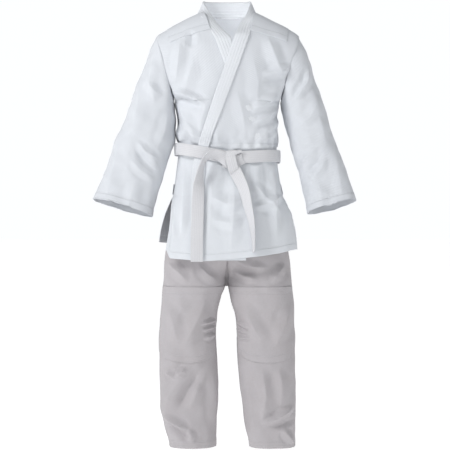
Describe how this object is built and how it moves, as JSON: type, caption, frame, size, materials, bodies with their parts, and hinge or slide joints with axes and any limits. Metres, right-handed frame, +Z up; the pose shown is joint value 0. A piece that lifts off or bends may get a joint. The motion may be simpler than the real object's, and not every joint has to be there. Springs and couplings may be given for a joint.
{
  "type": "martial arts uniform",
  "caption": "Wrap jacket with wide sleeves and a crossed collar, tied flat belt, and loose trousers with knee patches, shaped as worn.",
  "frame": {"origin": "middle of the trousers' waist opening, level with the top of the waistband", "axes": "+Z up the wearer's body, -Y is the front, +X is the wearer's left"},
  "size_m": [0.8862, 0.329, 1.4877],
  "materials": {
    "jacket_cloth": "matte rice-grain cotton weave",
    "skirt_cloth": "matte plain cotton weave",
    "collar_cloth": "matte twill with rows of stitching",
    "belt_cloth": "matte cotton tape with rows of stitching",
    "trouser_cloth": "matte light cotton twill"
  },
  "bodies": {
    "trousers": {"waistband_front": "trouser_cloth", "waistband_back": "trouser_cloth", "tie_loop_right": "trouser_cloth", "tie_loop_left": "trouser_cloth", "seat_front": "trouser_cloth", "seat_back": "trouser_cloth", "crotch_gusset": "trouser_cloth"},
    "jacket": {"jacket_back": "jacket_cloth", "jacket_front_left": "jacket_cloth", "jacket_front_right": "jacket_cloth", "lapel_left": "collar_cloth", "lapel_right": "collar_cloth", "neck_band": "collar_cloth", "shoulder_yoke_right": "jacket_cloth", "shoulder_yoke_left": "jacket_cloth", "skirt_front_left": "skirt_cloth", "skirt_front_right": "skirt_cloth", "lapel_left_skirt": "collar_cloth", "skirt_back": "skirt_cloth", "slit_patch_right": "skirt_cloth", "slit_patch_left": "skirt_cloth", "belt_back": "belt_cloth", "belt_front_right": "belt_cloth", "belt_front_left": "belt_cloth", "belt_knot": "belt_cloth", "belt_tail_bend": "belt_cloth"},
    "back_flap": {"skirt_back_flap": "skirt_cloth"},
    "sleeve_right": {"sleeve_right_front": "jacket_cloth", "sleeve_right_back": "jacket_cloth", "cuff_hem_right": "jacket_cloth"},
    "sleeve_left": {"sleeve_left_front": "jacket_cloth", "sleeve_left_back": "jacket_cloth", "cuff_hem_left": "jacket_cloth"},
    "tail_right": {"belt_tail_right": "belt_cloth"},
    "tail_left": {"belt_tail_left": "belt_cloth"},
    "leg_right": {"leg_right_front": "trouser_cloth", "leg_right_back": "trouser_cloth", "knee_patch_right": "trouser_cloth", "leg_hem_right": "trouser_cloth"},
    "leg_left": {"leg_left_front": "trouser_cloth", "leg_left_back": "trouser_cloth", "knee_patch_left": "trouser_cloth", "leg_hem_left": "trouser_cloth"}
  },
  "joints": [
    {"name": "jacket_lift", "type": "slide", "parent": "trousers", "child": "jacket", "axis": [0, 0, 1], "range_m": [0, 0.3]},
    {"name": "sleeve_right_raise", "type": "hinge", "parent": "jacket", "child": "sleeve_right", "pos_m": [-0.2443, 0, 0.401], "axis": [0, 1, 0], "range_deg": [0, 60]},
    {"name": "sleeve_left_raise", "type": "hinge", "parent": "jacket", "child": "sleeve_left", "pos_m": [0.2443, 0, 0.401], "axis": [0, -1, 0], "range_deg": [0, 60]},
    {"name": "back_flap_swing", "type": "hinge", "parent": "jacket", "child": "back_flap", "pos_m": [0, 0.1145, -0.1308], "axis": [1, 0, 0], "range_deg": [0, 35]},
    {"name": "tail_right_swing", "type": "hinge", "parent": "jacket", "child": "tail_right", "pos_m": [-0.08, -0.1237, -0.0312], "axis": [-1, 0, 0], "range_deg": [0, 70]},
    {"name": "tail_left_swing", "type": "hinge", "parent": "jacket", "child": "tail_left", "pos_m": [0.028, -0.1263, -0.0495], "axis": [-1, 0, 0], "range_deg": [0, 60]},
    {"name": "leg_right_swing", "type": "hinge", "parent": "trousers", "child": "leg_right", "pos_m": [0, 0, -0.33], "axis": [-1, 0, 0], "range_deg": [-20, 25]},
    {"name": "leg_left_swing", "type": "hinge", "parent": "trousers", "child": "leg_left", "pos_m": [0, 0, -0.33], "axis": [-1, 0, 0], "range_deg": [-20, 25]}
  ]
}
